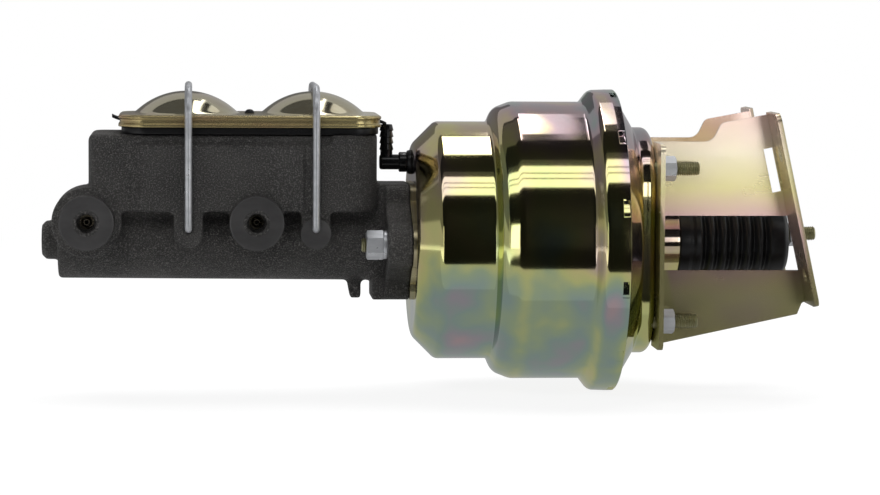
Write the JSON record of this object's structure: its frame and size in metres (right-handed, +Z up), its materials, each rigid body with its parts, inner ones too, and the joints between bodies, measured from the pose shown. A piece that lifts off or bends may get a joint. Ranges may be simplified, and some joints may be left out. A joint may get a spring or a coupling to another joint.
{
  "type": "brake booster",
  "caption": "Vacuum brake booster with stepped shells, tandem master cylinder with domed lid and bails, firewall brackets, boot and pushrod.",
  "frame": {"origin": "where the booster's axis meets the firewall, the tilted plane of the brackets' outer flanges", "axes": "+X along the booster's axis from the master cylinder to the pedal, +Z up, -Y the vehicle's left"},
  "size_m": [0.5134, 0.2, 0.2036],
  "materials": {
    "yellow_zinc": "yellow zinc plated pressed steel, glossy, iridescent",
    "bracket_zinc": "yellow zinc plated sheet, satin, iridescent",
    "lid_zinc": "pale yellow zinc plated pressed steel",
    "bright_zinc": "bright zinc plated steel",
    "stud_steel": "zinc plated threaded steel",
    "spring_steel": "spring steel",
    "plate_steel": "plain pressed steel",
    "cast_iron": "dark grey coated cast iron, sand-cast grain",
    "piston_aluminium": "turned aluminium",
    "seat_brass": "turned brass",
    "black_rubber": "black rubber",
    "black_plastic": "glossy black plastic",
    "white_plastic": "moulded phenolic plastic",
    "felt": "felt and open foam"
  },
  "bodies": {
    "housing": {"boot": "black_rubber", "bracket_nuts": "bright_zinc", "bracket_studs": "stud_steel", "check_valve": "black_plastic", "cylinder_body": "cast_iron", "cylinder_nuts": "bright_zinc", "cylinder_studs": "stud_steel", "cylinder_washers": "bright_zinc", "divider_plate": "plate_steel", "divider_seal": "black_rubber", "flange_gasket": "plate_steel", "front_diaphragm": "black_rubber", "front_seal": "black_rubber", "front_shell": "yellow_zinc", "left_bracket": "bracket_zinc", "lid_gasket": "black_rubber", "primary_spring": "spring_steel", "rear_diaphragm": "black_rubber", "rear_hub_seal": "black_rubber", "rear_shell": "yellow_zinc", "reservoir_lid": "lid_zinc", "return_spring": "spring_steel", "right_bracket": "bracket_zinc", "seal_retainer": "black_plastic", "secondary_spring": "spring_steel", "snap_ring": "spring_steel", "tube_seats": "seat_brass", "valve_grommet": "black_rubber"},
    "power_piston": {"valve_body": "white_plastic", "plunger_key": "plate_steel", "reaction_disc": "black_rubber", "output_rod": "stud_steel", "output_tip": "stud_steel", "front_support_plate": "plate_steel", "rear_support_plate": "plate_steel", "front_plate_ring": "plate_steel", "poppet": "black_rubber", "poppet_retainer": "plate_steel", "poppet_spring": "spring_steel", "air_filter": "felt", "silencer": "felt", "filter_ring": "plate_steel", "rod_spring": "spring_steel"},
    "plunger": {"valve_plunger": "stud_steel"},
    "pushrod": {"input_rod": "stud_steel", "rod_nut": "bright_zinc"},
    "primary": {"primary_piston": "piston_aluminium", "primary_cups": "black_rubber"},
    "secondary": {"secondary_piston": "piston_aluminium", "secondary_cups": "black_rubber"},
    "front_bail": {"front_bail": "bright_zinc"},
    "rear_bail": {"rear_bail": "bright_zinc"}
  },
  "joints": [
    {"name": "piston_stroke", "type": "slide", "parent": "housing", "child": "power_piston", "axis": [-1, 0, 0], "range_m": [0, 0.03], "stiffness_N_per_m": 2500, "springref_m": -0.05, "deforming": ["return_spring", "front_diaphragm", "rear_diaphragm", "boot", "primary_spring", "secondary_spring"]},
    {"name": "plunger_travel", "type": "slide", "parent": "power_piston", "child": "plunger", "axis": [-1, 0, 0], "range_m": [0, 0.0015], "stiffness_N_per_m": 1500, "springref_m": -0.008, "deforming": ["poppet", "poppet_spring", "rod_spring", "reaction_disc"]},
    {"name": "rod_swivel", "type": "hinge", "parent": "plunger", "child": "pushrod", "pos_m": [-0.125, 0, 0], "axis": [0, 1, 0], "range_deg": [-1.5, 4.5]},
    {"name": "primary_stroke", "type": "slide", "parent": "housing", "child": "primary", "axis": [-1, 0, 0], "range_m": [0, 0.03]},
    {"name": "secondary_stroke", "type": "slide", "parent": "housing", "child": "secondary", "axis": [-1, 0, 0], "range_m": [0, 0.015]},
    {"name": "front_bail_swing", "type": "hinge", "parent": "housing", "child": "front_bail", "pos_m": [-0.4, 0, 0.01], "axis": [0, -1, 0], "range_deg": [0, 55]},
    {"name": "rear_bail_swing", "type": "hinge", "parent": "housing", "child": "rear_bail", "pos_m": [-0.3176, 0, 0.01], "axis": [0, 1, 0], "range_deg": [0, 36]}
  ],
  "couplings": [
    {"joint": "primary_stroke", "follows": "piston_stroke", "ratio": 1},
    {"joint": "secondary_stroke", "follows": "piston_stroke", "ratio": 0.5}
  ]
}
